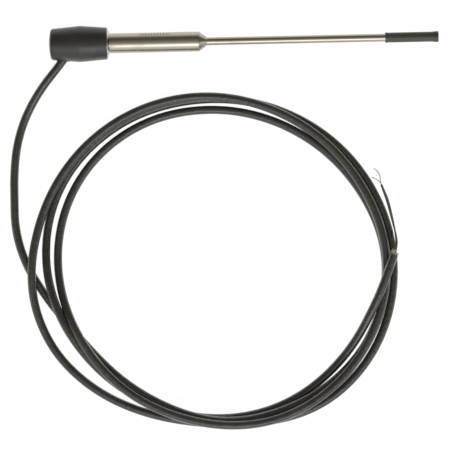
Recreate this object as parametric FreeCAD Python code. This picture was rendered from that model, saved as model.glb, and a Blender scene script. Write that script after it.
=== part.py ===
"""Needle-type soil moisture sensor lying on a table, with its coiled cable.

Millimetres. +X runs along the probe towards its sensing tip, +Z is up from the table.
The origin is on the probe's axis, at the front end of the handle's straight barrel.
"""

import FreeCAD
import Part
import math
import os

Vector = FreeCAD.Vector
ALONG = Vector(1, 0, 0)
UP = Vector(0, 0, 1)

# Probe, from the cable end to the tip
HEAD_LENGTH = 29.05
HEAD_RADIUS = 9.05  # at the ridge round the boot, where it rests on the table
HEAD_REAR_RADIUS = 7.75
HEAD_FRONT_RADIUS = 7.95
RIDGE_FROM_FRONT = 13.6
COLLAR_LENGTH = 1.1
COLLAR_RADIUS = 7.4
HANDLE_RADIUS = 5.0
HANDLE_WALL = 0.8
HANDLE_SHOWN = 44.75
HANDLE_SHANK_RADIUS = 4.6  # turned down where it goes into the boot
UNDERCUT = 0.3  # between the collar and the full-size barrel
CONE_LENGTH = 4.0
NEEDLE_RADIUS = 2.0
NEEDLE_WALL = 0.5
NEEDLE_SHOWN = 89.15
CAP_LENGTH = 26.65
CAP_RADIUS = 2.5
LIP_HEIGHT, LIP_LENGTH = 0.07, 1.4
FLARE_HEIGHT, FLARE_LENGTH = 0.28, 3.3
CAP_END = 2.6  # thickness of its closed end
CAP_REST_GAP = 0.05  # radial, between the cap's bore and the tip
FIT = 0.02  # radial, between pieces that are pushed or potted together
CABLE_FIT = 0.06  # radial, between the cable and its way out of the boot

# Cable
CABLE_RADIUS = 2.15
WIRE_RADIUS = 0.45
STRAND_RADIUS = 0.25
CABLE_ANGLE = 233.5  # degrees round from +X, the way the cable leaves the head
EXIT = Vector(-68.5, -8.6, 0)

# Lengthwise stations worked out from the sizes above
HANDLE_BACK = -HANDLE_SHOWN
HEAD_FRONT = HANDLE_BACK - COLLAR_LENGTH
HEAD_BACK = HEAD_FRONT - HEAD_LENGTH
TUBE_BACK = HEAD_FRONT - 14.0
CAVITY_BACK = HEAD_BACK + 2.5
CAVITY_FRONT = HEAD_FRONT - 3.6
CAVITY_RADIUS = 6.3
TUBE_BORE = HANDLE_RADIUS - HANDLE_WALL
NEEDLE_BORE = NEEDLE_RADIUS - NEEDLE_WALL
CAP_BACK = CONE_LENGTH + NEEDLE_SHOWN
CAP_FRONT = CAP_BACK + CAP_LENGTH
NEEDLE_FRONT = CAP_BACK + 4.0
ELECTRODE_BACK = NEEDLE_FRONT + 6.0
TIP = CAP_FRONT - 3.8
FLOOR = -(HEAD_RADIUS - 0.02)  # rounding the ridge off takes 0.02 from it
CABLE_Z = FLOOR + CABLE_RADIUS

BOARD_BACK, BOARD_FRONT = -54.0, -14.0
BOARD_WIDTH, BOARD_THICK = 7.0, 0.8
BOARD_TOP = BOARD_THICK / 2

pieces = {}


def corner(before, at, after, reach):
    """Where a tangent arc starts, is half way and ends, `reach` from the corner along both runs."""
    back, on = (before - at).normalize(), (after - at).normalize()
    half = back.getAngle(on) / 2
    middle = (back + on).normalize()
    radius = reach * math.tan(half)
    return at + back * reach, at + middle * (radius / math.sin(half) - radius), at + on * reach, radius


def joined(edges_of):
    """One wire from pairs of points for straight runs and triples for arcs."""
    edges = []
    for points in edges_of:
        if len(points) == 3:
            edges.append(Part.Arc(*points).toShape())
        elif points[0].distanceToPoint(points[1]) > 1e-6:
            edges.append(Part.LineSegment(*points).toShape())
    return Part.Wire(edges)


def turned(profile, rounds=None):
    """A solid of revolution about the probe's axis. The profile is (x, radius) corners;
    rounds gives a corner's fillet radius by its place in the list."""
    points = [Vector(x, r, 0) for x, r in profile]
    rounds = rounds or {}
    spans = []
    count = len(points)
    start = points[0]
    for i in range(1, count + 1):
        here = points[i % count]
        if i in rounds:
            before, after = points[i - 1], points[(i + 1) % count]
            half = (before - here).getAngle(after - here) / 2
            first, middle, last, _ = corner(before, here, after, rounds[i] / math.tan(half))
            spans += [(start, first), (first, middle, last)]
            start = last
        else:
            spans.append((start, here))
            start = here
    return Part.Face(joined(spans)).revolve(Vector(), ALONG, 360)


def ring(x0, x1, outer, inner=0.0):
    """A round washer or rod along the probe's axis."""
    body = Part.makeCylinder(outer, x1 - x0, Vector(x0, 0, 0), ALONG)
    if inner:
        body = body.cut(Part.makeCylinder(inner, x1 - x0 + 2, Vector(x0 - 1, 0, 0), ALONG))
    return body


def block(x0, x1, y0, y1, z0, z1):
    return Part.makeBox(x1 - x0, y1 - y0, z1 - z0, Vector(x0, y0, z0))


def tube(name, route, radius):
    """A plain round cord along straight runs joined by tangent arcs as large as they fit."""
    spans, radii, length = [], [], 0.0
    start = route[0]
    for before, at, after in zip(route, route[1:], route[2:]):
        shorter = min((at - before).Length, (after - at).Length)
        first, middle, last, bend = corner(before, at, after, 0.45 * shorter)
        spans += [(start, first), (first, middle, last)]
        radii.append(bend)
        start = last
    spans.append((start, route[-1]))
    path = joined(spans)
    section = Part.Wire(Part.makeCircle(radius, route[0], route[1] - route[0]))
    body = path.makePipeShell([section], True, False)
    wanted = math.pi * radius**2 * path.Length
    print(f"{name}: {path.Length:.1f} mm, volume {body.Volume:.1f} of {wanted:.1f},",
          "radii", [round(r, 1) for r in radii])
    return body


# Head: moulded rubber boot, open at the front for the handle and at the side for the cable
REAR_BULGE = 0.9  # the rear face stands out this far in its middle
REAR_FLAT_RADIUS = 2.5
CABLE_INSIDE = 8.2  # from the cable's end to where it comes out of the boot
ridge = HEAD_FRONT - RIDGE_FROM_FRONT
boot = turned(
    [(HEAD_BACK, 0), (HEAD_BACK, REAR_FLAT_RADIUS), (HEAD_BACK + REAR_BULGE, HEAD_REAR_RADIUS),
     (ridge, HEAD_RADIUS),
     (HEAD_FRONT, HEAD_FRONT_RADIUS), (HEAD_FRONT, HANDLE_SHANK_RADIUS + FIT),
     (CAVITY_FRONT, HANDLE_SHANK_RADIUS + FIT), (CAVITY_FRONT, CAVITY_RADIUS),
     (CAVITY_BACK, CAVITY_RADIUS), (CAVITY_BACK, 0)],
    {1: 20.0, 2: 1.5, 3: 6.0, 4: 0.5},
)
way_out = Vector(math.cos(math.radians(CABLE_ANGLE)), math.sin(math.radians(CABLE_ANGLE)), 0)
cable_start = EXIT - way_out * CABLE_INSIDE
cable_bore = Part.makeCylinder(CABLE_RADIUS + CABLE_FIT, 30, cable_start, way_out)
pieces["head_boot"] = boot.cut(cable_bore)

# Crimped on the cable's end inside the boot, so that the cable can't be pulled out
FERRULE_RADIUS, FERRULE_LENGTH = 2.7, 3.0
ferrule = Part.makeCylinder(FERRULE_RADIUS, FERRULE_LENGTH, cable_start, way_out)
pieces["cable_ferrule"] = ferrule.cut(cable_bore)

# Resin that fills the boot behind and round the handle tube
ANCHOR_RADIUS, ANCHOR_BACK, ANCHOR_FRONT = 5.8, TUBE_BACK + 2.5, TUBE_BACK + 3.5
WIRE_ROOM_RADIUS = 3.3
PLUG_BACK, PLUG_FRONT, PLUG_BORE = TUBE_BACK + 0.5, TUBE_BACK + 3.0, 2.2
wire_room = ring(cable_start.x - 1.6, PLUG_BACK, WIRE_ROOM_RADIUS)
potting = ring(CAVITY_BACK + FIT, CAVITY_FRONT - FIT, CAVITY_RADIUS - FIT)
for hole in (
    ring(TUBE_BACK - FIT, CAVITY_FRONT, HANDLE_SHANK_RADIUS + FIT),
    ring(ANCHOR_BACK - FIT, ANCHOR_FRONT + FIT, ANCHOR_RADIUS + FIT),
    Part.makeCylinder(FERRULE_RADIUS + FIT, FERRULE_LENGTH + FIT, cable_start, way_out),
    cable_bore,
    wire_room,
):
    potting = potting.cut(hole)
pieces["boot_potting"] = potting

# Handle: steel tube, its anchor ring in the resin, and the collar that closes the boot
COLLAR_RIM, COLLAR_FRONT_RADIUS = 0.25, 5.6
barrel_back = HANDLE_BACK + UNDERCUT
pieces["handle_tube"] = turned(
    [(TUBE_BACK, TUBE_BORE), (TUBE_BACK, HANDLE_SHANK_RADIUS), (barrel_back, HANDLE_SHANK_RADIUS),
     (barrel_back, HANDLE_RADIUS), (0, HANDLE_RADIUS), (0, TUBE_BORE)]
)
shank_fit = HANDLE_SHANK_RADIUS + FIT
pieces["anchor_ring"] = ring(ANCHOR_BACK, ANCHOR_FRONT, ANCHOR_RADIUS, shank_fit)
pieces["collar_ring"] = turned(
    [(HEAD_FRONT, shank_fit), (HEAD_FRONT, COLLAR_RADIUS), (HEAD_FRONT + COLLAR_RIM, COLLAR_RADIUS),
     (HANDLE_BACK, COLLAR_FRONT_RADIUS), (HANDLE_BACK, shank_fit)]
)
pieces["tube_plug"] = ring(PLUG_BACK, PLUG_FRONT, TUBE_BORE - FIT, PLUG_BORE)

# Nose cone, its O-ring, and the needle that is pressed into it
SPIGOT_BACK = -6.0
GROOVE = (-3.6, -2.6)
GROOVE_RADIUS = 3.3
ORING_RADIUS, ORING_THICKNESS = 3.74, 0.84
nose = turned(
    [(SPIGOT_BACK, NEEDLE_RADIUS + FIT), (SPIGOT_BACK, TUBE_BORE - FIT), (GROOVE[0], TUBE_BORE - FIT),
     (GROOVE[0], GROOVE_RADIUS), (GROOVE[1], GROOVE_RADIUS), (GROOVE[1], TUBE_BORE - FIT),
     (FIT, TUBE_BORE - FIT), (FIT, HANDLE_RADIUS), (CONE_LENGTH, NEEDLE_RADIUS + 0.12), (CONE_LENGTH, NEEDLE_RADIUS + FIT)]
)
pieces["nose_cone"] = nose
pieces["front_oring"] = Part.makeTorus(
    ORING_RADIUS, ORING_THICKNESS / 2, Vector((GROOVE[0] + GROOVE[1]) / 2, 0, 0), ALONG
)
pieces["needle_tube"] = ring(SPIGOT_BACK, NEEDLE_FRONT, NEEDLE_RADIUS, NEEDLE_BORE)

# Sensing tip: insulator, pointed electrode, and the rod that joins it to the circuit
ROD_RADIUS, SLEEVE_RADIUS = 0.35, 0.85
pieces["tip_insulator"] = turned(
    [(NEEDLE_FRONT - 4.0, ROD_RADIUS + FIT), (NEEDLE_FRONT - 4.0, NEEDLE_BORE - FIT),
     (NEEDLE_FRONT + FIT, NEEDLE_BORE - FIT), (NEEDLE_FRONT + FIT, NEEDLE_RADIUS),
     (ELECTRODE_BACK, NEEDLE_RADIUS), (ELECTRODE_BACK, ROD_RADIUS + FIT)]
)
pieces["tip_electrode"] = turned(
    [(ELECTRODE_BACK + FIT, ROD_RADIUS + FIT), (ELECTRODE_BACK + FIT, NEEDLE_RADIUS),
     (TIP - 6.0, NEEDLE_RADIUS), (TIP, 0.25), (TIP, 0), (ELECTRODE_BACK + 2.5, 0),
     (ELECTRODE_BACK + 2.5, ROD_RADIUS + FIT)],
    {2: 4.0, 3: 0.2},
)
pieces["sense_rod"] = ring(BOARD_FRONT + 0.1, ELECTRODE_BACK + 2.3, ROD_RADIUS)
pieces["rod_sleeve"] = ring(BOARD_FRONT + 4.0, NEEDLE_FRONT - 4.5, SLEEVE_RADIUS, ROD_RADIUS + FIT)
spacer_stations = [8.0 + 20.0 * i for i in range(5)]
pieces["rod_spacers"] = Part.makeCompound(
    [ring(x, x + 2.0, NEEDLE_BORE - FIT, SLEEVE_RADIUS + FIT) for x in spacer_stations]
)

# Protective cap: pushed over the tip, with a lip at its mouth and a flared end to grip
pieces["protective_cap"] = turned(
    [(CAP_BACK, NEEDLE_RADIUS + CAP_REST_GAP), (CAP_BACK, CAP_RADIUS + LIP_HEIGHT),
     (CAP_BACK + LIP_LENGTH, CAP_RADIUS + LIP_HEIGHT), (CAP_BACK + 1.5, CAP_RADIUS),
     (CAP_FRONT - FLARE_LENGTH, CAP_RADIUS), (CAP_FRONT - 0.9, CAP_RADIUS + FLARE_HEIGHT),
     (CAP_FRONT - 0.2, CAP_RADIUS + FLARE_HEIGHT), (CAP_FRONT, 1.2), (CAP_FRONT, 0),
     (CAP_FRONT - CAP_END, 0), (CAP_FRONT - CAP_END, NEEDLE_RADIUS + CAP_REST_GAP)],
    {1: 0.25, 6: 0.35},
)

# Circuit board in two carriers inside the handle, and the pieces soldered to it
half_width = BOARD_WIDTH / 2
pieces["circuit_board"] = block(
    BOARD_BACK, BOARD_FRONT, -half_width, half_width, -BOARD_TOP, BOARD_TOP
)
slot = block(-100, 0, -half_width - FIT, half_width + FIT, -BOARD_TOP - FIT, BOARD_TOP + FIT)
window = block(-100, 0, -2.0, 2.0, -2.4, 2.4)
for name, x in (("board_carrier_rear", BOARD_BACK - 1.0), ("board_carrier_front", BOARD_FRONT - 1.5)):
    pieces[name] = ring(x, x + 2.5, TUBE_BORE - FIT).cut(slot).cut(window)


def on_board(x, y, length, width, height):
    """A component standing on the board, by its middle."""
    return block(x - length / 2, x + length / 2, y - width / 2, y + width / 2,
                 BOARD_TOP, BOARD_TOP + height)


pieces["sensor_chip"] = on_board(-26.0, 0, 5.0, 4.4, 1.1)
pieces["oscillator_can"] = on_board(-18.5, 0, 3.2, 2.5, 0.9)
pieces["power_chips"] = Part.makeCompound([on_board(x, 0.3, 3.0, 2.8, 1.0) for x in (-44.0, -38.5)])
pieces["capacitors"] = Part.makeCompound(
    [on_board(x, y, 1.0, 0.6, 0.6) for x in (-33.5, -31.5, -22.0) for y in (-2.6, -1.0, 1.0, 2.6)]
)
pieces["resistors"] = Part.makeCompound(
    [on_board(x, y, 1.0, 0.5, 0.35) for x in (-47.5, -41.2, -35.4) for y in (-2.5, 2.5)]
)

# Wires from the cable's end, through the plug, to the board's rear edge
WIRE_SPREAD = 1.15
across = Vector(way_out.y, -way_out.x, 0)
solder_z = BOARD_TOP + WIRE_RADIUS + 0.05
for name, side in (("supply_wire", 1), ("drain_wire", 0), ("signal_wire", -1)):
    y = side * WIRE_SPREAD
    wire_start = cable_start + across * y
    route = [wire_start, wire_start - way_out * 1.2, Vector(-60.2, y, 0.35),
             Vector(-57.4, y, 0.9), Vector(BOARD_BACK + 2.8, y, solder_z)]
    pieces[name] = tube(name, route, WIRE_RADIUS)

# Cable from the head down to the table and along it to the coil
LEAD = [
    cable_start,
    EXIT + way_out * 2.0,
    Vector(-78.2, -20.0, -2.2),
    Vector(-84.9, -29.8, -5.4),
    Vector(-89.8, -40.0, CABLE_Z),
    Vector(-93.2, -52.5, CABLE_Z),
    Vector(-94.4, -66.5, CABLE_Z),
    Vector(-94.5, -81.5, CABLE_Z),
    Vector(-93.4, -96.5, CABLE_Z),
    Vector(-88.8, -110.5, CABLE_Z),
]
pieces["cable_lead"] = tube("cable_lead", LEAD, CABLE_RADIUS)

# Coil: the outer shape of all its turns, two cables high, as inner and outer radii
# every 30 degrees round its middle, starting from +X
COIL_MIDDLE = Vector(4.2, -110.3, FLOOR)
COIL_HEIGHT = 4 * CABLE_RADIUS
COIL_EDGES = [
    (85.3, 93.6), (79.7, 90.0), (75.2, 86.5), (74.2, 85.5), (75.7, 87.5), (76.7, 89.5),
    (75.7, 93.5), (73.7, 93.3), (71.7, 86.2), (75.8, 83.5), (77.7, 90.0), (79.7, 94.8),
]


def coil_block(side):
    """The upright block inside one of the coil's two outlines."""
    outline = Part.BSplineCurve()
    points = []
    for i, radii in enumerate(COIL_EDGES):
        angle = 2 * math.pi * i / len(COIL_EDGES)
        points.append(COIL_MIDDLE + Vector(math.cos(angle), math.sin(angle), 0) * radii[side])
    outline.interpolate(points, PeriodicFlag=True)
    return Part.Face(Part.Wire(outline.toShape())).extrude(UP * COIL_HEIGHT)


pieces["cable_coil"] = coil_block(1).cut(coil_block(0))

# Free end: the screen's tuft, two insulated wires and their stripped ends
END = Vector(95.3, -108.4, CABLE_Z)
pieces["screen_tuft"] = Part.makeSphere(1.0, END)
WIRE_Z = FLOOR + WIRE_RADIUS
STRAND_Z = FLOOR + STRAND_RADIUS
for name, shift, bare in (
    ("end_supply_wire", 0.5, [(89.9, -70.6), (89.3, -68.0), (88.2, -66.2), (86.7, -65.0)]),
    ("end_signal_wire", -0.45, [(89.4, -71.9), (88.3, -70.9), (86.9, -70.2), (85.5, -69.4)]),
):
    route = [END, Vector(96.6 + shift, -102.5, CABLE_Z - 0.4), Vector(96.0 + shift, -97.0, WIRE_Z + 0.3),
             Vector(95.0 + shift, -91.5, WIRE_Z), Vector(93.4 + shift, -84.0, WIRE_Z),
             Vector(91.4 + shift, -78.0, WIRE_Z), Vector(90.0 + shift, -73.4, WIRE_Z)]
    pieces[name] = tube(name, route, WIRE_RADIUS)
    bare_name = name.replace("wire", "strands")
    bare_route = [route[-1]] + [Vector(x, y, STRAND_Z) for x, y in bare]
    pieces[bare_name] = tube(bare_name, bare_route, STRAND_RADIUS)

os.makedirs("parts", exist_ok=True)
for name, shape in pieces.items():
    if not shape.isValid():
        print("NOT VALID:", name)
    shape.exportStep(f"parts/{name}.step")
print(len(pieces), "nodes")
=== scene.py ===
"""Looks of a needle-type soil moisture probe lying on a white table with its coiled cable.

Metres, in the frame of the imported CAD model: +X runs along the probe to its tip, +Z is up.
"""

import math

import bmesh
import bpy
import numpy as np
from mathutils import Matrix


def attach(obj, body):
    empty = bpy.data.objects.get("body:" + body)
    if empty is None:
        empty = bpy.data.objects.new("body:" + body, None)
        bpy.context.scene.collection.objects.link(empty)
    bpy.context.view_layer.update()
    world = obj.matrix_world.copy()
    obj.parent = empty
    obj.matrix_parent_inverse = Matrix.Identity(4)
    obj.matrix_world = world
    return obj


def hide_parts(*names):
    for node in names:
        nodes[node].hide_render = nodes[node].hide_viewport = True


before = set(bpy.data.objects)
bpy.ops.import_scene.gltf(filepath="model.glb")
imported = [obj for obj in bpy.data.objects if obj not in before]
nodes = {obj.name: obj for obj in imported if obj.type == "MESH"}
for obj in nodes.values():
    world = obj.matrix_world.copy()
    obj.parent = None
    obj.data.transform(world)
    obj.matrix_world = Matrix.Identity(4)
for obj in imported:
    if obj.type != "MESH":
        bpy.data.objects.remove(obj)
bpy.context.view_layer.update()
scene = bpy.context.scene
MM = 0.001

# ---------------------------------------------------------------------------------------
# Camera: straight above the table and far off, so that nothing leans outwards, and turned
# a little, so that the probe's tip is higher in the frame than its head.
# ---------------------------------------------------------------------------------------
CAMERA_AIM = (11.6 * MM, -92.5 * MM)
CAMERA_HEIGHT = 1.2556
CAMERA_LENS = 200.0
CAMERA_TURN = 1.2

lens = bpy.data.cameras.new("camera")
lens.lens = CAMERA_LENS
lens.sensor_width = 36.0
lens.clip_start, lens.clip_end = 0.05, 20.0
camera = bpy.data.objects.new("camera", lens)
camera.location = (*CAMERA_AIM, CAMERA_HEIGHT)
camera.rotation_euler = (0.0, 0.0, -math.radians(CAMERA_TURN))
scene.collection.objects.link(camera)
scene.camera = camera
scene.view_settings.view_transform = "Standard"
scene.view_settings.look = "None"

# ---------------------------------------------------------------------------------------
# Cable: 1.96 m of 4.3 mm screened cable with a black semi-gloss jacket. It comes out of the
# side of the head, drops to the table and lies there in three and a half loose turns, put
# down by hand, so the turns differ in size and cross over each other.
# ---------------------------------------------------------------------------------------
CABLE_RADIUS = 2.15 * MM
TABLE_Z = -9.03 * MM
CABLE_Z = TABLE_Z + CABLE_RADIUS
CABLE_EXIT = (-68.5 * MM, -8.6 * MM, 0.0)
COIL_MIDDLE = (4.2 * MM, -110.3 * MM)
LEAD_ROUTE = [
    (-0.0636, -0.0020, 0.0),
    (-0.0697, -0.0102, 0.0),
    (-0.0782, -0.0200, -0.0022),
    (-0.0849, -0.0298, -0.0054),
    (-0.0898, -0.0400, CABLE_Z),
    (-0.0932, -0.0525, CABLE_Z),
    (-0.0944, -0.0665, CABLE_Z),
]
# Where the cable goes round the coil: degrees round from the right of the frame, and mm
# from the coil's middle
COIL_ROUTE = [
    (161, 105.1), (171, 100.3), (180, 94.4), (187, 88.9), (194, 84.0), (207, 77.7), (214, 75.8),
    (240, 74.6), (255, 76.4), (270, 79.5), (300, 83.2), (318, 86.3), (330, 87.8), (343, 88.2),
    (360, 87.6), (390, 82.0), (420, 77.9), (450, 76.6), (480, 77.7), (510, 78.5), (540, 77.7),
    (570, 76.1), (600, 77.4), (615, 78.7), (660, 86.1), (690, 88.0), (720, 87.8), (750, 84.1),
    (785, 82.3), (810, 83.1), (840, 84.9), (887, 88.7), (915, 91.9), (930, 91.0), (945, 87.8),
    (965, 83.3), (983, 81.2), (1004, 83.9), (1030, 91.1), (1047, 92.9), (1080, 91.6),
    (1110, 87.9), (1150, 83.2), (1178, 81.9), (1205, 83.4), (1237, 85.0), (1260, 83.5),
    (1280, 80.5), (1300, 78.2), (1320, 77.7), (1350, 78.7), (1374, 80.3), (1410, 82.3),
    (1426, 84.3), (1442.2, 90.9),
]
# Which stretch was put down on which: each lies on those with a lower number. Given as the
# angle where a stretch ends and its number.
LAID_ORDER = [(225, 0), (560, 3), (925, 5), (1250, 1), (1300, 4), (1395, 2), (1444, 6)]
COIL_STEP = 10.0
FINE_STEP = 1.0
HUMP_REACH = 8  # fine steps to each side of a crossing that the cable stays up for
OWN_STRETCH = 60.0  # a point isn't compared with the cable this many degrees round from it


def eased(at, stations, values):
    """Values on a smooth curve through the given ones: between two stations it is the
    cubic whose slope at each end is the mean slope of the stretches that meet there."""
    slopes = np.gradient(values, stations)
    i = np.clip(np.searchsorted(stations, at) - 1, 0, len(stations) - 2)
    span = stations[i + 1] - stations[i]
    u = (at - stations[i]) / span
    start = (1 + 2 * u) * (1 - u) ** 2 * values[i] + u * (1 - u) ** 2 * span * slopes[i]
    end = u**2 * (3 - 2 * u) * values[i + 1] - u**2 * (1 - u) * span * slopes[i + 1]
    return start + end


def softened(heights, reach):
    """Each height becomes the highest within reach steps, and then the mean over a bell
    curve of that width, as a stiff cable rises to a crossing and sinks after it."""
    windows = np.lib.stride_tricks.sliding_window_view
    widened = windows(np.pad(heights, reach, mode="edge"), 2 * reach + 1).max(axis=1)
    bell = np.exp(-((np.arange(-3 * reach, 3 * reach + 1) / reach) ** 2) / 2)
    return np.convolve(np.pad(widened, 3 * reach, mode="edge"), bell / bell.sum(), "valid")


def coil_heights(angles, flat):
    """How far each point of the coil is lifted off the table. A point that comes within a
    cable's width of a stretch laid before it rests on it: its height is that stretch's
    own height plus the upright side of the triangle whose long side is one width."""
    ends = np.array([end for end, _ in LAID_ORDER])
    numbers = np.array([number for _, number in LAID_ORDER])
    order = numbers[np.searchsorted(ends, angles)]
    apart = np.hypot(*(flat[:, None, :] - flat[None, :, :]).transpose(2, 0, 1))
    width = 2 * CABLE_RADIUS
    elsewhere = np.abs(angles[:, None] - angles[None, :]) > OWN_STRETCH
    under = (order[None, :] < order[:, None]) & (apart < width) & elsewhere
    rise = np.sqrt(np.maximum(width**2 - apart**2, 0))
    heights = np.zeros(len(angles))
    for _ in range(len(LAID_ORDER)):
        resting = np.where(under, heights[None, :] + rise, 0).max(axis=1)
        heights = softened(resting, HUMP_REACH)
    return heights


stations = np.array([angle for angle, _ in COIL_ROUTE], float) - CAMERA_TURN
radii = np.array([radius for _, radius in COIL_ROUTE]) * MM
fine = np.arange(stations[0], stations[-1] + FINE_STEP, FINE_STEP).clip(max=stations[-1])


def round_coil(angles):
    """Points on the table at those angles, as far from the coil's middle as the route."""
    reach = eased(angles, stations, radii)
    turn = np.radians(angles)
    return np.stack([COIL_MIDDLE[0] + reach * np.cos(turn), COIL_MIDDLE[1] + reach * np.sin(turn)], 1)


fine_heights = coil_heights(fine, round_coil(fine))
count = round((stations[-1] - stations[0]) / COIL_STEP) + 1
coil_angles = np.linspace(stations[0], stations[-1], count)
coil_points = np.column_stack(
    [round_coil(coil_angles), CABLE_Z + np.interp(coil_angles, fine, fine_heights)]
)
cable_route = LEAD_ROUTE + [tuple(map(float, point)) for point in coil_points]


def cord_curve(name, route, radius, replaced=()):
    """A round cord as one smooth spline with the route's points as its control points."""
    curve = bpy.data.curves.new(name, "CURVE")
    curve.dimensions = "3D"
    spline = curve.splines.new("NURBS")
    spline.points.add(len(route) - 1)
    spline.points.foreach_set("co", [value for point in route for value in (*point, 1.0)])
    spline.points.foreach_set("radius", [radius] * len(route))
    spline.order_u = 3
    spline.use_endpoint_u = True
    spline.resolution_u = 6
    curve.bevel_depth = 1.0
    curve.bevel_resolution = 5
    curve.use_fill_caps = True
    cord = bpy.data.objects.new(name, curve)
    scene.collection.objects.link(cord)
    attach(cord, "probe")
    if replaced:
        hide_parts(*replaced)
    return cord


def line_of(cord):
    """The points of a cord's own smooth line, read from its spline without its thickness."""
    bare = cord.data.copy()
    bare.bevel_depth = 0.0
    holder = bpy.data.objects.new("line", bare)
    mesh = bpy.data.meshes.new_from_object(holder)
    points = np.empty(len(mesh.vertices) * 3)
    mesh.vertices.foreach_get("co", points)
    bpy.data.objects.remove(holder)
    bpy.data.curves.remove(bare)
    bpy.data.meshes.remove(mesh)
    return points.reshape(-1, 3)


class Value:
    """A shader socket on which plain arithmetic adds the Math nodes."""

    def __init__(self, finish, socket):
        self.finish, self.socket = finish, socket

    def maths(self, operation, first, second):
        return self.finish.node("ShaderNodeMath", {"operation": operation}, {0: first, 1: second})

    def __add__(self, other):
        return self.maths("ADD", self, other)

    def __sub__(self, other):
        return self.maths("SUBTRACT", self, other)

    def __rsub__(self, other):
        return self.maths("SUBTRACT", other, self)

    def __mul__(self, other):
        return self.maths("MULTIPLY", self, other)

    __radd__ = __add__
    __rmul__ = __mul__


class Finish:
    """The nodes of a material, or of the studio round the object."""

    def __init__(self, owner):
        self.owner = owner
        owner.use_nodes = True
        self.tree = owner.node_tree
        self.shader = self.tree.nodes.get("Principled BSDF") or self.tree.nodes["Background"]

    def fill(self, node, sockets):
        for name, value in sockets.items():
            if isinstance(value, Value):
                self.tree.links.new(value.socket, node.inputs[name])
            else:
                node.inputs[name].default_value = value

    def node(self, kind, settings, sockets, output=0):
        """Adds a node: its own settings first, then its sockets' values and links."""
        made = self.tree.nodes.new(kind)
        for name, value in settings.items():
            if name == "stops":
                stops = made.color_ramp.elements
                while len(stops) < len(value):
                    stops.new(1.0)
                for stop, (place, colour) in zip(stops, value):
                    stop.position, stop.color = place, colour
            else:
                setattr(made, name, value)
        self.fill(made, sockets)
        return Value(self, made.outputs[output])

    def place(self, stretch=(1.0, 1.0, 1.0)):
        """Where a point is on the object, stretched for patterns with a direction."""
        where = self.node("ShaderNodeTexCoord", {}, {}, "Object")
        return self.node("ShaderNodeMapping", {}, {"Vector": where, "Scale": stretch})

    def noise(self, scale, detail=3.0, stretch=(1.0, 1.0, 1.0), roughness=0.5):
        sockets = {"Vector": self.place(stretch), "Scale": scale, "Detail": detail,
                   "Roughness": roughness}
        return self.node("ShaderNodeTexNoise", {}, sockets, "Fac")

    def between(self, amount, low, high, out_low=0.0, out_high=1.0):
        """Low and high of the amount are spread over the output range, and kept in it."""
        sockets = {"Value": amount, "From Min": low, "From Max": high,
                   "To Min": out_low, "To Max": out_high}
        return self.node("ShaderNodeMapRange", {"clamp": True}, sockets)

    def mix(self, amount, first, second):
        """From the first colour to the second as the amount goes from 0 to 1."""
        return self.node("ShaderNodeMix", {"data_type": "RGBA"}, {0: amount, 6: first, 7: second}, 2)

    def bump(self, height, strength, distance, normal=None):
        sockets = {"Height": height, "Strength": strength, "Distance": distance}
        if normal:
            sockets["Normal"] = normal
        return self.node("ShaderNodeBump", {}, sockets)

    def surface(self, sockets):
        self.fill(self.shader, sockets)
        return self.owner


def paint(piece, material):
    piece.data.materials.clear()
    piece.data.materials.append(material)


def jacket_finish():
    """Black extruded jacket: semi-gloss, lumpy where the screen's braid shows through, so that
    its highlights break up into beads, with handling dust in patches."""
    finish = Finish(bpy.data.materials.new("cable_jacket"))
    dust = finish.between(finish.noise(55.0, 4.0), 0.45, 0.75)
    lumps = finish.noise(430.0, 1.0)
    grain = finish.noise(2200.0, 2.0)
    skin = finish.bump(grain, 0.15, 0.0002, finish.bump(lumps, 0.7, 0.0005))
    return finish.surface({
        "Base Color": finish.mix(dust, (0.050, 0.048, 0.040, 1), (0.065, 0.062, 0.052, 1)),
        "Roughness": dust * 0.10 + 0.16,
        "IOR": 1.45,
        "Coat Weight": 0.55,
        "Coat Roughness": 0.04,
        "Normal": skin,
    })


cable = cord_curve("cable", cable_route, CABLE_RADIUS, ["cable_lead", "cable_coil"])
paint(cable, jacket_finish())
cable_line = line_of(cable)

# ---------------------------------------------------------------------------------------
# Free end: the jacket is cut square and the screen's strands fray out of it. The two cores
# go on, twisted round each other, and end in bare tinned strands for a terminal block.
# ---------------------------------------------------------------------------------------
CORE_RADIUS = 0.42 * MM
STRAND_RADIUS = 0.07 * MM
SCREEN_RADIUS = 1.65 * MM
cut_z = float(coil_points[-1, 2])
CORE_Z = TABLE_Z + CORE_RADIUS
PAIR_ROUTE = [
    (0.0949, -0.1094, cut_z), (0.0959, -0.1060, cut_z - 0.0003), (0.0967, -0.1018, cut_z - 0.0013),
    (0.0966, -0.0976, -0.0062), (0.0959, -0.0935, -0.0080), (0.0950, -0.0892, CORE_Z),
    (0.0940, -0.0848, CORE_Z), (0.0929, -0.0805, CORE_Z), (0.0915, -0.0768, CORE_Z),
    (0.0902, -0.0733, CORE_Z),
]
BARE_ROUTES = {
    "end_supply": [(0.0899, -0.0710, -0.0086), (0.0895, -0.0683, -0.0087),
                   (0.0883, -0.0664, -0.0088), (0.0868, -0.0651, -0.0088)],
    "end_signal": [(0.0894, -0.0717, -0.0086), (0.0882, -0.0708, -0.0088),
                   (0.0869, -0.0701, -0.0088), (0.0856, -0.0694, -0.0088)],
}
TWIST_STEP = 28.0
TWIST_RADIUS = 0.9 * CORE_RADIUS
STRAND_COUNT = 7
STRAND_TURN = 9.0
# How far the outer strands stand from the middle one, where they leave the core and at the end
STRANDS_APART = (2.4 * STRAND_RADIUS, 6.5 * STRAND_RADIUS)


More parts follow.
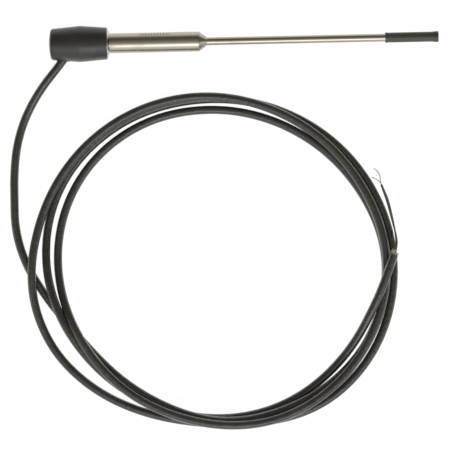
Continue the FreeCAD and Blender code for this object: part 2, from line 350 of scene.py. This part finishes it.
def new_piece(name, vertices, faces, body="probe", replaced=(), sharp=35.0):
    """A mesh piece in place, smooth except where its faces meet at more than the angle."""
    mesh = bpy.data.meshes.new(name)
    mesh.from_pydata(vertices, [], faces)
    mesh.validate()
    mesh.polygons.foreach_set("use_smooth", np.ones(len(mesh.polygons), bool))
    mesh.set_sharp_from_angle(angle=math.radians(sharp))
    piece = bpy.data.objects.new(name, mesh)
    scene.collection.objects.link(piece)
    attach(piece, body)
    if replaced:
        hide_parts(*replaced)
    return piece


def thin_strands(lines, radius, sides=6):
    """Vertices and faces of round strands, one for each row of points. A ring stands on the
    line at each point, in the plane square to the line there, and both ends are closed."""
    strands, points, _ = lines.shape
    ahead = np.gradient(lines, axis=1)
    ahead /= np.linalg.norm(ahead, axis=2, keepdims=True)
    across = np.cross(ahead, (0.12, 0.35, 0.93))
    across /= np.linalg.norm(across, axis=2, keepdims=True)
    above = np.cross(across, ahead)
    turn = 2 * math.pi * np.arange(sides) / sides
    rings = lines[:, :, None] + radius * (
        across[:, :, None] * np.cos(turn)[:, None] + above[:, :, None] * np.sin(turn)[:, None]
    )
    index = np.arange(strands * points * sides).reshape(strands, points, sides)
    here, there = index[:, :-1], index[:, 1:]
    quads = np.stack([here, np.roll(here, -1, 2), np.roll(there, -1, 2), there], -1)
    caps = np.concatenate([index[:, 0, ::-1], index[:, -1]])
    return rings.reshape(-1, 3), quads.reshape(-1, 4).tolist() + caps.tolist()


def core_finish(name, colour):
    """Extruded core insulation: smooth and a little glossy, dulled where it was stripped."""
    finish = Finish(bpy.data.materials.new(name))
    dull = finish.noise(900.0, 2.0)
    return finish.surface({
        "Base Color": finish.mix(dull, colour, tuple(0.6 * c for c in colour[:3]) + (1,)),
        "Roughness": dull * 0.2 + 0.3,
    })


def tinned_finish(name, light, dark, metal=0.85):
    """Tinned copper strands: bright metal with dull grey patches."""
    finish = Finish(bpy.data.materials.new(name))
    dull = finish.noise(1500.0, 3.0)
    return finish.surface({
        "Base Color": finish.mix(dull, light, dark),
        "Metallic": metal,
        "Roughness": dull * 0.25 + 0.3,
    })


bare_metal = tinned_finish("bare_strand", (0.90, 0.90, 0.88, 1), (0.70, 0.70, 0.67, 1), 0.25)
end_pieces = []
for name, phase, colour in (
    ("end_supply", 0.0, (0.165, 0.145, 0.115, 1)),
    ("end_signal", 180.0, (0.200, 0.185, 0.155, 1)),
):
    turns = np.radians(phase + TWIST_STEP * np.arange(len(PAIR_ROUTE)))
    twisted = np.array(PAIR_ROUTE)
    twisted[:, 0] += TWIST_RADIUS * np.cos(turns)
    twisted[:, 2] += TWIST_RADIUS * (1 + np.sin(turns))
    core = cord_curve(name + "_core", [tuple(map(float, p)) for p in twisted], CORE_RADIUS,
                      [name + "_wire"])
    paint(core, core_finish(name + "_core", colour))
    # One strand in the middle and the others laid round it, following one smooth line
    guide = cord_curve("guide", [tuple(map(float, twisted[-1]))] + BARE_ROUTES[name],
                       STRAND_RADIUS)
    line = line_of(guide)
    bpy.data.objects.remove(guide)
    outer = np.arange(STRAND_COUNT - 1)[:, None]
    lay = 2 * math.pi * outer / (STRAND_COUNT - 1) + np.linspace(0, STRAND_TURN, len(line))
    spread = np.linspace(*STRANDS_APART, len(line))
    lines = np.repeat(line[None], STRAND_COUNT, axis=0)
    lines[1:, :, 0] += spread * np.cos(lay)
    lines[1:, :, 2] += spread * np.sin(lay)
    vertices, faces = thin_strands(lines, STRAND_RADIUS)
    strands = new_piece(name + "_bare", vertices, faces, "probe", [name + "_strands"])
    paint(strands, bare_metal)
    end_pieces += [core, strands]

# Frayed screen: short strands stand in a ring in the jacket's mouth and flare outwards, and
# on one side of the ring they are longer
FRAY_COUNT = 64
FRAY_RADIUS = 0.11 * MM
FRAY_ROOT = 0.4 * MM
LONGER_BY, LONGER_MIDDLE = 1.3 * MM, 2.5
LONGER_COSINE = 0.75  # of half the angle that the longer strands take up
fray = np.random.default_rng(11)
ahead = cable_line[-1] - cable_line[-2]
ahead /= np.linalg.norm(ahead)
across = np.cross(ahead, (0, 0, 1.0))
across /= np.linalg.norm(across)
above = np.cross(across, ahead)
around = 2 * math.pi * (np.arange(FRAY_COUNT) + fray.uniform(-0.4, 0.4, FRAY_COUNT)) / FRAY_COUNT
longer = fray.uniform(0.9, 2.3, FRAY_COUNT) * MM
longer += LONGER_BY * (np.cos(around - LONGER_MIDDLE) > LONGER_COSINE)
flare = fray.uniform(-0.2, 1.0, FRAY_COUNT) * MM
lean = fray.uniform(-0.5, 0.5, FRAY_COUNT) * MM
along = np.linspace(0, 1, 7)[None, :, None]
out = across * np.cos(around)[:, None] + above * np.sin(around)[:, None]
side = above * np.cos(around)[:, None] - across * np.sin(around)[:, None]
rows = (
    cable_line[-1] - FRAY_ROOT * ahead
    + out[:, None] * (SCREEN_RADIUS * fray.uniform(0.75, 1.0, FRAY_COUNT)[:, None, None]
                      + flare[:, None, None] * along**2)
    + ahead * longer[:, None, None] * along
    + side[:, None] * lean[:, None, None] * along**2
)
vertices, faces = thin_strands(rows, FRAY_RADIUS, 5)
tuft = new_piece("screen_fray", vertices, faces, "probe", ["screen_tuft"])
paint(tuft, tinned_finish("screen_braid", (0.84, 0.82, 0.60, 1), (0.40, 0.38, 0.22, 1), 0.4))
end_pieces.append(tuft)

# ---------------------------------------------------------------------------------------
# Head: a rubber boot moulded in one piece, thickest at a ridge behind its front, with a
# parting line down both sides, a plain oval pad, and a lip where the cable comes out.
# ---------------------------------------------------------------------------------------
HEAD_BACK, HEAD_RIDGE, HEAD_FRONT = -74.9, -59.45, -45.85
SHANK_RADIUS = 4.62
CAVITY_BACK, CAVITY_FRONT, CAVITY_RADIUS = HEAD_BACK + 2.5, HEAD_FRONT - 3.6, 6.3
BOOT_PROFILE = [
    (HEAD_BACK, 0.0, 0), (HEAD_BACK, 2.5, 20.0), (HEAD_BACK + 0.9, 7.75, 1.5),
    (HEAD_RIDGE, 9.05, 6.0), (HEAD_FRONT, 7.95, 0.5), (HEAD_FRONT, SHANK_RADIUS, 0.2),
    (CAVITY_FRONT, SHANK_RADIUS, 0), (CAVITY_FRONT, CAVITY_RADIUS, 0),
    (CAVITY_BACK, CAVITY_RADIUS, 0), (CAVITY_BACK, 0.0, 0),
]
EXIT_WAY = (-0.5948, -0.8039)
PAD_MIDDLE, PAD_ANGLE = (-56.5, 38.0)
PAD_HALF = (5.2, 1.7)
PAD_HEIGHT, PAD_EDGE = 0.14, 16.0
PARTING_HEIGHT, PARTING_WIDTH = 0.05, 0.22
LIP_HEIGHT, LIP_RADIUS, LIP_WIDTH = 0.30, 2.35, 0.45


def rounded(profile, steps=7):
    """The profile's corners, each (x, radius, rounding), as points: a rounded corner becomes
    the circle arc that touches both of its sides, and the others stay as they are."""
    corners = np.array([(x, r) for x, r, _ in profile])
    points = [corners[0]]
    for i in range(1, len(profile) - 1):
        before, here, after = corners[i - 1], corners[i], corners[i + 1]
        radius = profile[i][2]
        if not radius:
            points.append(here)
            continue
        back = (before - here) / np.linalg.norm(before - here)
        on = (after - here) / np.linalg.norm(after - here)
        half = math.acos(np.clip(back @ on, -1, 1)) / 2
        middle = here + (back + on) / np.linalg.norm(back + on) * radius / math.sin(half)
        first = here + back * radius / math.tan(half) - middle
        last = here + on * radius / math.tan(half) - middle
        sweep = math.pi - 2 * half
        part = np.linspace(0, 1, steps)[:, None]
        points.extend(middle + (np.sin((1 - part) * sweep) * first + np.sin(part * sweep) * last)
                      / math.sin(sweep))
    points.append(corners[-1])
    return np.array(points)


def divided(points, spacing):
    """The same outline with more points, none further apart than the spacing."""
    gaps = np.maximum(np.ceil(np.linalg.norm(np.diff(points, axis=0), axis=1) / spacing), 1)
    where = np.concatenate([i + np.arange(n) / n for i, n in enumerate(gaps)] + [[len(gaps)]])
    whole = np.arange(len(points))
    return np.stack([np.interp(where, whole, points[:, k]) for k in (0, 1)], 1)


def turned(name, outline, body="probe", replaced=(), relief=None, segments=96, loop=False):
    """A piece turned about the probe's axis. Its surface is (x, r cos a, r sin a) over the
    outline's points (x, r) in mm and the angles a; relief adds to r, given x, r and a. The
    outline ends on the axis, or is a loop that joins up with its start."""
    x, r = (column[:, None] for column in np.asarray(outline, float).T)
    a = 2 * math.pi * np.arange(segments)[None, :] / segments
    x, r, a = np.broadcast_arrays(x, r, a)
    if relief:
        r = r + relief(x, r, a)
    vertices = MM * np.stack([x, r * np.cos(a), r * np.sin(a)], -1)
    index = np.arange(x.size).reshape(x.shape)
    here, there = (index, np.roll(index, -1, 0)) if loop else (index[:-1], index[1:])
    quads = np.stack([here, there, np.roll(there, -1, 1), np.roll(here, -1, 1)], -1)
    piece = new_piece(name, vertices.reshape(-1, 3), quads.reshape(-1, 4), body, replaced)
    close_up(piece)
    return piece


def close_up(piece):
    """Joins the points that meet on the axis and turns all faces outwards."""
    shell = bmesh.new()
    shell.from_mesh(piece.data)
    bmesh.ops.remove_doubles(shell, verts=shell.verts, dist=1e-7)
    bmesh.ops.recalc_face_normals(shell, faces=shell.faces)
    shell.to_mesh(piece.data)
    shell.free()
    piece.data.set_sharp_from_angle(angle=math.radians(35))


def boot_relief(x, r, a):
    """Height of the parting line, the oval pad and the cable's lip above the boot's skin.
    Each is a bell or a soft step of the distance from its own line or middle, in mm."""
    outside = (r > CAVITY_RADIUS + 0.3) & (x < HEAD_FRONT - 0.3)
    y, z = r * np.cos(a), r * np.sin(a)
    line = PARTING_HEIGHT * np.exp(-((z / PARTING_WIDTH) ** 2)) * (x > HEAD_BACK + 0.6)
    lean = (a - math.radians(90 + PAD_ANGLE)) * r
    oval = np.hypot((x - PAD_MIDDLE) / PAD_HALF[0], lean / PAD_HALF[1])
    pad = PAD_HEIGHT / (1 + np.exp((oval - 1) * PAD_EDGE))
    across = (x - CABLE_EXIT[0] / MM) * EXIT_WAY[1] - (y - CABLE_EXIT[1] / MM) * EXIT_WAY[0]
    from_cable = np.hypot(across, z)
    lip = LIP_HEIGHT * np.exp(-(((from_cable - LIP_RADIUS) / LIP_WIDTH) ** 2)) * (y < 0)
    return np.where(outside, line + pad + lip, 0.0)


def rubber_finish(name, dark, light, rough, grain=0.18):
    """Moulded rubber: near black, matt from the mould's fine grain, greyer where it is dusty
    and where hands have rubbed it."""
    finish = Finish(bpy.data.materials.new(name))
    rubbed = finish.between(finish.noise(120.0, 5.0, roughness=0.6), 0.35, 0.7)
    speck = finish.between(finish.noise(1400.0, 2.0), 0.62, 0.75)
    mottle = finish.mix(rubbed, dark, light)
    paler = tuple(min(1.7 * c, 1.0) for c in light[:3]) + (1,)
    return finish.surface({
        "Base Color": finish.mix(speck * 0.3, mottle, paler),
        "Roughness": rubbed * 0.12 + rough,
        "Normal": finish.bump(finish.noise(4200.0, 2.0), grain, 0.00015,
                              finish.bump(finish.noise(260.0, 2.0), 0.15, 0.0004)),
    })


boot_outline = divided(rounded(BOOT_PROFILE), 0.35)
boot = turned("head_boot_rubber", boot_outline, "probe", ["head_boot"],
              boot_relief, segments=240)
paint(boot, rubber_finish("boot_rubber", (0.040, 0.0375, 0.0325, 1), (0.048, 0.045, 0.0395, 1), 0.22))

# ---------------------------------------------------------------------------------------
# Handle: a polished stainless tube with a turned collar where it enters the boot, a nose
# cone pressed into its front, and a plain row of graduation marks along its side.
# ---------------------------------------------------------------------------------------
TUBE_BACK, BARREL_BACK = -59.85, -44.45
TUBE_BORE, SHANK, BARREL = 4.2, 4.6, 5.0
HANDLE_OUTLINE = [
    (TUBE_BACK, TUBE_BORE, 0), (TUBE_BACK, SHANK, 0.1), (BARREL_BACK, SHANK, 0),
    (BARREL_BACK, BARREL, 0.12), (0.0, BARREL, 0.15), (0.0, TUBE_BORE, 0.1),
    (TUBE_BACK, TUBE_BORE, 0),
]
COLLAR_OUTLINE = [
    (HEAD_FRONT, SHANK_RADIUS, 0), (HEAD_FRONT, 7.4, 0.08), (HEAD_FRONT + 0.25, 7.4, 0.1),
    (-44.75, 5.6, 0.12), (-44.75, SHANK_RADIUS, 0), (HEAD_FRONT, SHANK_RADIUS, 0),
]
NOSE_OUTLINE = [
    (-6.0, 2.02, 0), (-6.0, 4.18, 0.2), (-3.6, 4.18, 0.05), (-3.6, 3.3, 0.05), (-2.6, 3.3, 0.05),
    (-2.6, 4.18, 0.05), (0.02, 4.18, 0), (0.02, 5.0, 0.12), (4.0, 2.12, 0.12), (4.0, 2.02, 0),
    (-6.0, 2.02, 0),
]
MARKS_FROM, MARKS_TO, MARK_STEP = -29.5 * MM, -14.5 * MM, 1.5 * MM
MARK_HALF, MARK_EDGE = 0.22 * MM, 0.12 * MM
MARK_SIDES = (3.4 * MM, 4.3 * MM)
SOFT = 0.1 * MM  # the row of marks fades out over this distance at its ends and its sides


def steel_finish(name, colour, rough, marked=False):
    """Polished stainless steel: fine turning marks run round the axis, and faint scuffs dull
    it in patches. The marked one has dark engraved graduations on one side."""
    finish = Finish(bpy.data.materials.new(name))
    turning = finish.noise(220.0, 3.0, (30.0, 1.0, 1.0))
    scuffs = finish.between(finish.noise(90.0, 5.0, roughness=0.65), 0.5, 0.8)
    base = finish.mix(scuffs, colour, tuple(0.86 * c for c in colour[:3]) + (1,))
    roughness = scuffs * 0.10 + (turning * 0.06 + rough)
    if marked:
        where = finish.node("ShaderNodeTexCoord", {}, {}, "Object")
        parts = [finish.node("ShaderNodeSeparateXYZ", {}, {"Vector": where}, axis) for axis in "XYZ"]
        to_mark = {0: parts[0] - MARKS_FROM, 1: MARK_STEP / 2}
        wave = finish.node("ShaderNodeMath", {"operation": "PINGPONG"}, to_mark)
        tick = finish.between(wave, MARK_HALF, MARK_HALF + MARK_EDGE, 1.0, 0.0)
        row = finish.between(parts[0], MARKS_FROM - SOFT, MARKS_FROM) * finish.between(
            parts[0], MARKS_TO, MARKS_TO + SOFT, 1.0, 0.0)
        near, far = MARK_SIDES
        band = finish.between(parts[1], near, near + SOFT) * finish.between(
            parts[1], far, far + SOFT, 1.0, 0.0)
        above = finish.between(parts[2], 0.0, SOFT)
        etched = tick * row * band * above * 0.9
        base = finish.mix(etched, base, (0.10, 0.095, 0.09, 1))
        roughness = roughness + etched * 0.3
    return finish.surface({
        "Base Color": base,
        "Metallic": 1.0,
        "Roughness": roughness,
        "Normal": finish.bump(turning, 0.05, 0.00006),
    })


STEEL = (0.455, 0.425, 0.355, 1)
handle = turned("handle_barrel", divided(rounded(HANDLE_OUTLINE), 3.0)[:-1], "probe",
                ["handle_tube"], loop=True)
paint(handle, steel_finish("handle_steel", STEEL, 0.13, marked=True))
collar = turned("boot_collar", rounded(COLLAR_OUTLINE)[:-1], "probe",
                ["collar_ring"], loop=True)
paint(collar, steel_finish("collar_steel", (0.55, 0.54, 0.52, 1), 0.2))
nose = turned("nose_taper", rounded(NOSE_OUTLINE)[:-1], "probe",
              ["nose_cone"], loop=True)
paint(nose, steel_finish("nose_steel", STEEL, 0.2))

# ---------------------------------------------------------------------------------------
# Needle and sensing tip: drawn stainless tube, a collar of white insulating plastic, and
# the pointed electrode that is pushed into the soil.
# ---------------------------------------------------------------------------------------
NEEDLE_OUTLINE = [(-6.0, 1.5, 0), (-6.0, 2.0, 0.1), (97.15, 2.0, 0.08), (97.15, 1.5, 0), (-6.0, 1.5, 0)]
INSULATOR_OUTLINE = [
    (93.15, 0.37, 0), (93.15, 1.48, 0.1), (97.17, 1.48, 0), (97.17, 2.0, 0.06), (103.15, 2.0, 0.06),
    (103.15, 0.37, 0), (93.15, 0.37, 0),
]
ELECTRODE_OUTLINE = [
    (103.17, 0.37, 0), (103.17, 2.0, 0.06), (110.0, 2.0, 4.0), (116.0, 0.25, 0.2), (116.0, 0.0, 0),
    (105.65, 0.0, 0), (105.65, 0.37, 0), (103.17, 0.37, 0),
]


def plastic_finish(name, colour, rough, worn=0.8):
    """Plain engineering plastic: even colour with slight blotches, and a fine satin grain."""
    finish = Finish(bpy.data.materials.new(name))
    blotch = finish.noise(300.0, 4.0)
    return finish.surface({
        "Base Color": finish.mix(blotch, colour, tuple(worn * c for c in colour[:3]) + (1,)),
        "Roughness": blotch * 0.15 + rough,
        "Normal": finish.bump(finish.noise(3000.0, 2.0), 0.1, 0.0001),
    })


needle = turned("needle_shaft", divided(rounded(NEEDLE_OUTLINE), 6.0)[:-1], "probe",
                ["needle_tube"], segments=64, loop=True)
paint(needle, steel_finish("needle_steel", (0.47, 0.44, 0.37, 1), 0.13))
insulator = turned("tip_collar", rounded(INSULATOR_OUTLINE)[:-1], "probe",
                   ["tip_insulator"], segments=64, loop=True)
paint(insulator, plastic_finish("tip_plastic", (0.78, 0.75, 0.66, 1), 0.35))
electrode = turned("tip_point", rounded(ELECTRODE_OUTLINE)[:-1], "probe",
                   ["tip_electrode"], segments=64, loop=True)
paint(electrode, steel_finish("electrode_steel", STEEL, 0.2))

# ---------------------------------------------------------------------------------------
# Protective cap: a dark rubber tube, closed and flared at its far end to be gripped, with a
# rolled lip at its mouth. It is pushed over the tip and pulls straight off.
# ---------------------------------------------------------------------------------------
CAP_BACK, CAP_FRONT, CAP_BORE = 93.15, 119.8, 2.05
CAP_OUTLINE = [
    (CAP_BACK + 0.25, CAP_BORE, 0), (CAP_BACK, CAP_BORE + 0.12, 0), (CAP_BACK, 2.57, 0.2),
    (CAP_BACK + 1.4, 2.57, 0.12), (CAP_BACK + 1.65, 2.42, 0.2), (CAP_BACK + 3.0, 2.5, 1.0),
    (CAP_FRONT - 3.6, 2.5, 4.0), (CAP_FRONT - 0.9, 2.78, 1.0), (CAP_FRONT - 0.1, 2.76, 0.3),
    (CAP_FRONT, 1.2, 0), (CAP_FRONT - 0.15, 0.0, 0), (CAP_FRONT - 2.6, 0.0, 0),
    (CAP_FRONT - 2.6, CAP_BORE, 0.2), (CAP_BACK + 0.25, CAP_BORE, 0),
]
cap = turned("tip_cap", divided(rounded(CAP_OUTLINE), 1.2)[:-1], "cap",
             ["protective_cap"], segments=72, loop=True)
paint(cap, rubber_finish("cap_rubber", (0.070, 0.061, 0.049, 1), (0.085, 0.075, 0.061, 1), 0.34, 0.1))

# ---------------------------------------------------------------------------------------
# Pieces inside the probe. They keep their CAD shapes and get the finish of what they are:
# potting resin, wires, circuit board and its components, carriers, seals and the rod.
# ---------------------------------------------------------------------------------------


def board_finish():
    """Circuit board: green solder mask over paler tracks that run along it."""
    finish = Finish(bpy.data.materials.new("board_laminate"))
    tracks = finish.between(finish.noise(900.0, 0.0, (0.25, 1.0, 1.0)), 0.48, 0.52)
    return finish.surface({
        "Base Color": finish.mix(tracks, (0.012, 0.10, 0.045, 1), (0.03, 0.19, 0.09, 1)),
        "Roughness": tracks * 0.1 + 0.3,
        "Normal": finish.bump(tracks, 0.2, 0.0001),
    })


inner_finishes = {
    plastic_finish("potting_resin", (0.03, 0.03, 0.033, 1), 0.15): ["boot_potting"],
    plastic_finish("carrier_plastic", (0.15, 0.15, 0.16, 1), 0.5): [
        "board_carrier_rear", "board_carrier_front"],
    plastic_finish("chip_plastic", (0.03, 0.03, 0.033, 1), 0.5): [
        "sensor_chip", "power_chips", "resistors"],
    plastic_finish("capacitor_ceramic", (0.42, 0.30, 0.18, 1), 0.35): ["capacitors"],
    plastic_finish("white_sleeve", (0.85, 0.85, 0.82, 1), 0.4): [
        "rod_sleeve", "rod_spacers", "tube_plug"],
    plastic_finish("seal_rubber", (0.03, 0.03, 0.03, 1), 0.6): ["front_oring"],
    plastic_finish("wire_brown", (0.16, 0.06, 0.03, 1), 0.3): ["supply_wire"],
    plastic_finish("wire_green", (0.04, 0.18, 0.05, 1), 0.3): ["signal_wire"],
    steel_finish("can_metal", (0.6, 0.6, 0.59, 1), 0.2): [
        "oscillator_can", "anchor_ring", "cable_ferrule"],
    steel_finish("plated_brass", (0.72, 0.55, 0.25, 1), 0.2): ["sense_rod"],
    bare_metal: ["drain_wire"],
    board_finish(): ["circuit_board"],
}
for finish, names in inner_finishes.items():
    for name in names:
        paint(nodes[name], finish)

# ---------------------------------------------------------------------------------------
# Studio: a plain white table and soft light from all round. A long soft box stands on the
# side that the cable goes to, and the room is darker, and a little warmer, behind and above
# the other side.
# ---------------------------------------------------------------------------------------
TABLE_HALF = 2.5
# Brightness of the studio round the probe's axis: degrees from straight up, towards +Y
STUDIO = [
    (-180, 0.90), (-92, 0.92), (-70, 1.08), (-58, 1.35), (-49, 1.55), (-30, 1.35), (-20, 0.92),
    (-9, 0.50), (3, 0.36), (14, 0.28), (26, 0.16), (50, 0.13), (62, 0.24), (77, 0.66), (92, 0.95),
    (180, 0.90),
]
STUDIO_PEAK = 1.55
SOFT_BOX = 1.5
SOFT_BOX_SIDES = (-53.0, -27.0)
SOFT_BOX_EDGE = 6.0
# In the shade the red is a little stronger, and the green and the blue are weaker
SHADE_TINT = (0.02, -0.06, -0.24)

table_mesh = bpy.data.meshes.new("table")
corners = [(x * TABLE_HALF, y * TABLE_HALF, TABLE_Z) for x, y in ((-1, -1), (1, -1), (1, 1), (-1, 1))]
table_mesh.from_pydata(corners, [], [(0, 1, 2, 3)])
table = bpy.data.objects.new("table", table_mesh)
scene.collection.objects.link(table)
white = Finish(bpy.data.materials.new("table_white"))
paint(table, white.surface({
    "Base Color": (0.12, 0.12, 0.12, 1),
    "Roughness": 0.9,
    "Specular IOR Level": 0.0,
    "Emission Color": (1.0, 1.0, 1.0, 1),
    "Emission Strength": 0.97,
}))

studio = Finish(bpy.data.worlds.new("studio"))
way = studio.node("ShaderNodeTexCoord", {}, {}, "Generated")
lengthways, sideways, upwards = (
    studio.node("ShaderNodeSeparateXYZ", {}, {"Vector": way}, axis) for axis in "XYZ"
)
lean = studio.node("ShaderNodeMath", {"operation": "ARCTAN2"}, {0: sideways, 1: upwards})
stops = []
for angle, level in STUDIO:
    shade = max(1 - level, 0)
    tinted = [level / STUDIO_PEAK * (1 + shade * tint) for tint in SHADE_TINT]
    stops.append(((angle + 180) / 360, (*tinted, 1)))
room = studio.node("ShaderNodeValToRGB", {"stops": stops},
                   {"Fac": studio.between(lean, -math.pi, math.pi)}, "Color")
# The soft box: its edges are soft, and it stands from just behind the head on to the tip
near, far = (math.radians(side) for side in SOFT_BOX_SIDES)
edge = math.radians(SOFT_BOX_EDGE)
box = studio.between(lean, near, near + edge) * studio.between(lean, far - edge, far, 1.0, 0.0)
box = box * studio.between(lengthways, -0.12, -0.03) * studio.between(lengthways, 0.7, 0.8, 1.0, 0.0)
apart = studio.node("ShaderNodeMath", {"operation": "ABSOLUTE"}, {0: lengthways})
fading = studio.between(apart, 0.12, 0.55, 1.0, 0.45) + studio.between(apart, 0.8, 1.0, 0.0, 0.5)
scene.world = studio.surface({"Color": room, "Strength": fading * STUDIO_PEAK + box * SOFT_BOX})
